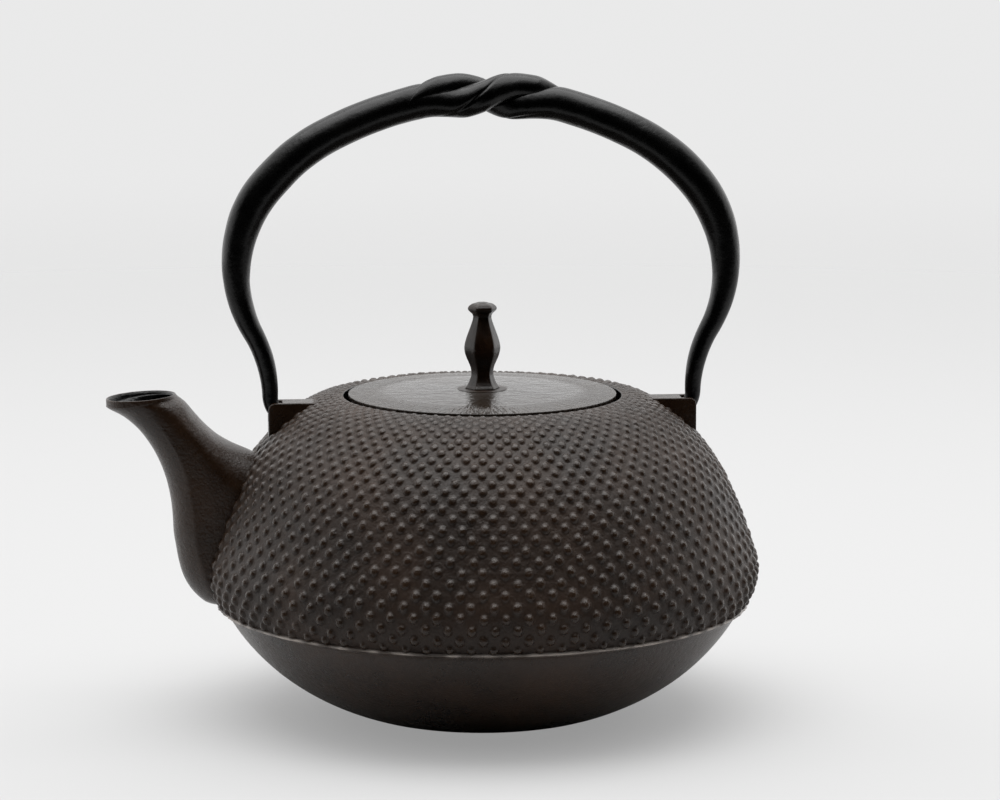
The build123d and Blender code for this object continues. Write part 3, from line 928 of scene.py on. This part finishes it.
# height above the foot and corner radius
KNOB_SECTIONS = (
    (0.0, 5.5), (0.35, 5.3), (1.0, 4.75), (2.1, 4.15), (3.6, 3.62), (5.2, 3.55), (6.6, 3.85),
    (8.0, 4.42), (9.5, 5.1), (10.8, 5.52), (12.0, 5.7), (13.2, 5.62), (14.7, 5.25), (16.4, 4.65),
    (18.2, 3.95), (19.8, 3.35), (21.0, 2.98), (21.8, 2.92), (22.5, 3.25), (23.1, 3.95),
    (23.7, 4.5), (24.3, 4.6), (25.0, 4.1), (25.6, 3.1), (25.9, 1.6),
)
KNOB_TURN = 3.0  # the knob's facets are turned by this many degrees
KNOB_SOFTNESS = 20.0  # how sharp its corners are


def hexagon(angle, softness):
    """Reach of a hexagon with unit corner radius; softness rounds its corners."""
    apothem = cos(pi / 6)
    total = 0.0
    for side in range(6):
        facing = np.cos(angle - radians(30 + 60 * side))
        total = total + np.clip(facing, 0.0, None) ** softness
    return apothem / total ** (1.0 / softness)


def knob():
    """Six-sided baluster with soft edges, a flared foot and a low domed cap."""
    around = 144
    heights = np.concatenate([np.linspace(0.0, 22.0, 110), np.linspace(22.1, 25.95, 40)])
    radii = smooth_table(KNOB_SECTIONS, heights)[:, 0]
    angle = circle(around)
    reach = radii[:, None] * hexagon(angle - radians(KNOB_TURN), KNOB_SOFTNESS)
    hand = soft_noise(angle / (2 * pi) * 12, heights[:, None] / 3.0, 12, SEED + 30)
    reach = reach + 0.04 * hand
    z = KNOB_FOOT + KNOB_STRETCH * heights[:, None] + 0 * reach
    low, peened = KNOB_LOW[2], KNOB_LOW[2] + 1.0
    tang = [(0, low), (2.6, low), (3.0, peened), (1.9, peened), (1.9, KNOB_FOOT), (5.3, KNOB_FOOT)]
    tang = rounded(tang, (0.4, 0.3, 0.2, 0.3))[1:-1]
    reach, z = map(np.concatenate, zip(spread(tang, around), (reach, z)))
    ends = [(0.0, 0.0, low), (0.0, 0.0, KNOB_HIGH[2])]
    mesh = closed_tube("knob_baluster", around_axis(reach, angle, z), ends)
    add_piece(mesh, KNOB_BRONZE, "lid", "bronzed_knob", "lid_knob")


def washers():
    """A thin dished disc under the knob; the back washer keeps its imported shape."""
    disc = [
        (TANG_HOLE, LID_CROWN + 0.05), (TANG_HOLE, KNOB_FOOT + 0.02), (7.2, KNOB_FOOT - 0.10),
        (7.65, LID_CROWN + 0.04), (7.2, LID_CROWN - 0.1), (TANG_HOLE, LID_CROWN - 0.1),
        (TANG_HOLE, LID_CROWN),
    ]
    disc = rounded(disc, (0.1, 0.2, 0.1, 0.1, 0.05))
    mesh = revolve("knob_seat_disc", disc[::-1], 144, closed=True)
    add_piece(mesh, WASHER_BRONZE, "lid", "bronzed_washer", "knob_seat_washer")
    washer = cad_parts["knob_back_washer"]
    washer.data.materials.clear()
    washer.data.materials.append(WASHER_BRONZE)


# ---- the infuser
MESH_PITCH = 1.15
WIRE = 0.17  # half-thickness of one wire
WEAVE = 0.8 * WIRE  # a wire swings this far to either side
SHEET = 0.6  # thickness of the pressed steel
CRIMP_LAP = 4.0  # how far the crimped ring reaches under the base
UP = (0.0, 0.0, 1.0)


def infuser_sheet():
    """The pressed rim with its collar, and the crimped ring at the bottom."""
    inner, outer, flange = WALL_HIGH[0], WALL_HIGH[0] + SHEET, RIM_HIGH[0]
    low, high = RIM_LOW[2], RIM_HIGH[2]
    rim = [
        (inner, low + 0.3), (inner, high), (flange, high), (flange, high - SHEET),
        (outer, high - SHEET), (outer, low), (inner, low), (inner, low + 0.2),
    ]
    rim = rounded(rim, (0.9, 0.25, 0.25, 0.4, 0.2, 0.2))[::-1]
    low, high, lap = CRIMP_LOW[2], CRIMP_HIGH[2], outer - CRIMP_LAP
    crimp = [
        (lap, low + 0.3), (lap, low), (outer, low), (outer, high),
        (inner, high), (inner, low + SHEET), (lap, low + SHEET), (lap, low + 0.4),
    ]
    crimp = rounded(crimp, (0.15, 0.9, 0.25, 0.25, 0.3, 0.15))
    for name, outline, node in (
        ("infuser_rim_sheet", rim, "infuser_rim"),
        ("infuser_crimp_sheet", crimp, "infuser_base_ring"),
    ):
        mesh = revolve(name, outline, 288, closed=True)
        add_piece(mesh, STEEL_SHEET, "infuser", "steel_sheet", node)


def wires(lines, ups, closed):
    """Square-section wires along several polylines that have the same number of points."""
    count, length, _ = lines.shape
    if closed:
        ahead = np.roll(lines, -1, axis=1) - np.roll(lines, 1, axis=1)
    else:
        ahead = np.gradient(lines, axis=1)
    ahead = normalised(ahead)
    side = normalised(np.cross(ahead, ups))
    up = np.cross(side, ahead)
    ring = [lines + WIRE * (a * side + b * up) for a, b in ((1, 1), (-1, 1), (-1, -1), (1, -1))]
    cloud = np.stack(ring, axis=2)
    first = np.arange(count)[:, None, None] * length * 4
    quads = grid_quads(length, 4, wrap_rows=closed, wrap_columns=True) + first
    quads = quads.reshape(-1, 4)
    if not closed:
        end = (length - 1) * 4
        caps = np.array([[3, 2, 1, 0], [end, end + 1, end + 2, end + 3]]) + first
        quads = np.concatenate([quads, caps.reshape(-1, 4)])
    return cloud.reshape(-1, 3), quads


def woven_piece(name, parts, node):
    """One piece from several clouds of points with their quads."""
    clouds, faces, total = [], [], 0
    for cloud, quads in parts:
        clouds.append(cloud)
        faces.append(quads + total)
        total += len(cloud)
    mesh = make_mesh(name, np.concatenate(clouds), [np.concatenate(faces)])
    mesh.shade_flat()
    add_piece(mesh, STEEL_WIRE, "infuser", "steel_mesh", node)


def woven_wall():
    """The basket's wall: hoops and uprights that pass over and under each other."""
    radius = (WALL_HIGH[0] + WALL_HIGH[0] - 0.5) / 2
    low, high = WALL_LOW[2] + 0.1, WALL_HIGH[2] - 0.1
    uprights = int(round(2 * pi * radius / MESH_PITCH / 2)) * 2
    hoops = int(round((high - low) / MESH_PITCH / 2)) * 2
    angle = np.arange(uprights * 2) * pi / uprights
    level = low + (np.arange(hoops) + 0.5) * (high - low) / hoops
    wave = np.cos(np.arange(uprights * 2) * pi / 2)
    sign = np.where(np.arange(hoops) % 2, -1.0, 1.0)[:, None]
    lines = around_axis(radius + WEAVE * sign * wave, angle, level[:, None])
    across = wires(lines, UP, closed=True)

    steps = hoops * 2 + 1
    z = low + np.arange(steps) * (high - low) / (hoops * 2)
    turn = circle(uprights)[:, None]
    wave = np.sin(np.arange(steps) * pi / 2)
    sign = np.where(np.arange(uprights) % 2, 1.0, -1.0)[:, None]
    lines = around_axis(radius + WEAVE * sign * wave, turn, z)
    upright = wires(lines, around_axis(1.0, turn, 0.0), closed=False)
    woven_piece("infuser_woven_wall", (across, upright), "infuser_wall")


def woven_base():
    """The basket's base: a disc of the same cloth, its wires ending in the crimped ring."""
    radius = DISC_HIGH[0] - 0.3
    z = (DISC_LOW[2] + DISC_HIGH[2]) / 2
    count = int(2 * radius / MESH_PITCH)
    parts = []
    for direction in (0, 1):
        for number in range(count):
            place = (number - (count - 1) / 2) * MESH_PITCH
            if abs(place) > radius - 0.4:
                continue
            half = sqrt(radius ** 2 - place ** 2)
            steps = max(4, int(round(2 * half / (MESH_PITCH / 2))))
            along = np.linspace(-half, half, steps)
            phase = pi * (along / MESH_PITCH + (count - 1) / 2 + number + direction)
            line = np.zeros((1, steps, 3))
            line[0, :, direction] = along
            line[0, :, 1 - direction] = place
            line[0, :, 2] = z + WEAVE * np.cos(phase)
            parts.append(wires(line, UP, closed=False))
    woven_piece("infuser_woven_base", parts, "infuser_base")


shoulder()
bowl()
spout()
lug("pot_lug_right", 1.0)
lug("pot_lug_left", -1.0)
bar("bail_bar_right", 1)
bar("bail_bar_left", -1)
lid()
knob()
washers()
infuser_sheet()
woven_wall()
woven_base()


# ---- floor, light and camera
WHITE = (1.0, 1.0, 1.0, 1.0)
BACKGROUND = 0.82
FLOOR_SEEN = 0.30  # albedo of the floor as the camera sees it
FLOOR_LIGHT = 0.44  # and as it lights the pot from below
FLOOR_GLOW = 0.30  # lifts the shadow as seen by the camera, and lights nothing
CARD_START = -0.16  # in front of here the floor no longer shines into the pot
CARD_END = -0.34
FLOOR_CLEAR = 0.55  # the floor starts to fade into the background at this radius
FLOOR_END = 1.6


def stage():
    """A pale round floor that fades into the plain background far from the pot."""
    n = new_material("floor_white")
    away = n.add("ShaderNodeVectorMath", {0: n.place}, operation="LENGTH").outputs["Value"]
    seen = n.seen()
    y = n.add("ShaderNodeSeparateXYZ", {"Vector": n.place}).outputs["Y"]
    shine = n.remap(y, CARD_END, CARD_START, 0.0, FLOOR_LIGHT)
    alpha = n.remap(away, FLOOR_CLEAR, FLOOR_END, 1.0, 0.0, smooth=True)
    glow = n.math("MULTIPLY", seen, FLOOR_GLOW)
    n.feed(n.shader, {"Alpha": alpha, "Emission Color": WHITE, "Emission Strength": glow})
    n.finish(n.blend(seen, shine, FLOOR_SEEN), 0.8, specular=0.1)
    ring = unit(np.arange(64) * 360 / 64) * (FLOOR_END + 0.2)
    mesh = bpy.data.meshes.new("floor")
    mesh.from_pydata([(x, y, 0) for x, y in ring], [], [range(64)])
    mesh.materials.append(n.owner)
    new_object("floor", mesh)


# brightness of the studio seen from the pot: white walls, ceiling and back, a dark front
SIDES = 1.5
BACK = 0.95
FRONT = 0.0


def studio():
    """A white room that is dark only on the side where the front of the pot looks."""
    world = bpy.data.worlds.new("studio")
    bpy.context.scene.world = world
    n = Nodes(world)
    look = n.add("ShaderNodeSeparateXYZ", {"Vector": n.places["Generated"]}).outputs
    side = n.remap(look["Y"], -0.35, 0.20, smooth=True)
    high = n.remap(look["Z"], 0.58, 0.86, smooth=True)
    back = n.remap(look["Y"], 0.82, 0.97, SIDES, BACK, smooth=True)
    level = n.remap(n.math("MAXIMUM", side, high), 0.0, 1.0, FRONT, back)
    room = n.feed(n.tree.nodes["Background"], {"Color": WHITE, "Strength": level})
    plain = n.add("ShaderNodeBackground", {"Color": WHITE, "Strength": BACKGROUND})
    shaders = {0: n.seen(), 1: room.outputs["Background"], 2: plain.outputs["Background"]}
    mix = n.add("ShaderNodeMixShader", shaders)
    n.feed(n.tree.nodes["World Output"], {"Surface": mix.outputs["Shader"]})
    bpy.context.scene.view_settings.view_transform = "Standard"


SOFTBOX_PLACE = (0.0, 0.10, 1.2)
SOFTBOX_AIM = (0.0, 0.0, 0.1)
SOFTBOX_SIZE = (1.5, 1.1)
SOFTBOX_POWER = 15.0


def softbox():
    light = bpy.data.lights.new("top_softbox", "AREA")
    light.shape = "RECTANGLE"
    light.size, light.size_y = SOFTBOX_SIZE
    light.energy = SOFTBOX_POWER
    lamp = new_object("top_softbox", light)
    lamp.location = SOFTBOX_PLACE
    look = Vector(SOFTBOX_AIM) - Vector(SOFTBOX_PLACE)
    lamp.rotation_euler = look.to_track_quat("-Z", "Y").to_euler()


# the camera looks past the pot's middle from the front, a little from the spout's side
VIEW_TURN = -5.0
VIEW_DROP = 9.12
VIEW_DISTANCE = 1.2665
VIEW_AIM = (0.0054, 0.0, 0.0951)
LENS = 149.6


def camera():
    turn, drop = radians(VIEW_TURN), radians(VIEW_DROP)
    level = cos(drop)
    look = Vector((-sin(turn) * level, cos(turn) * level, -sin(drop)))
    data = bpy.data.cameras.new("camera")
    data.lens = LENS
    data.sensor_width = 36.0
    lens = new_object("camera", data)
    lens.location = Vector(VIEW_AIM) - VIEW_DISTANCE * look
    lens.rotation_euler = look.to_track_quat("-Z", "Y").to_euler()
    bpy.context.scene.camera = lens


stage()
studio()
softbox()
camera()
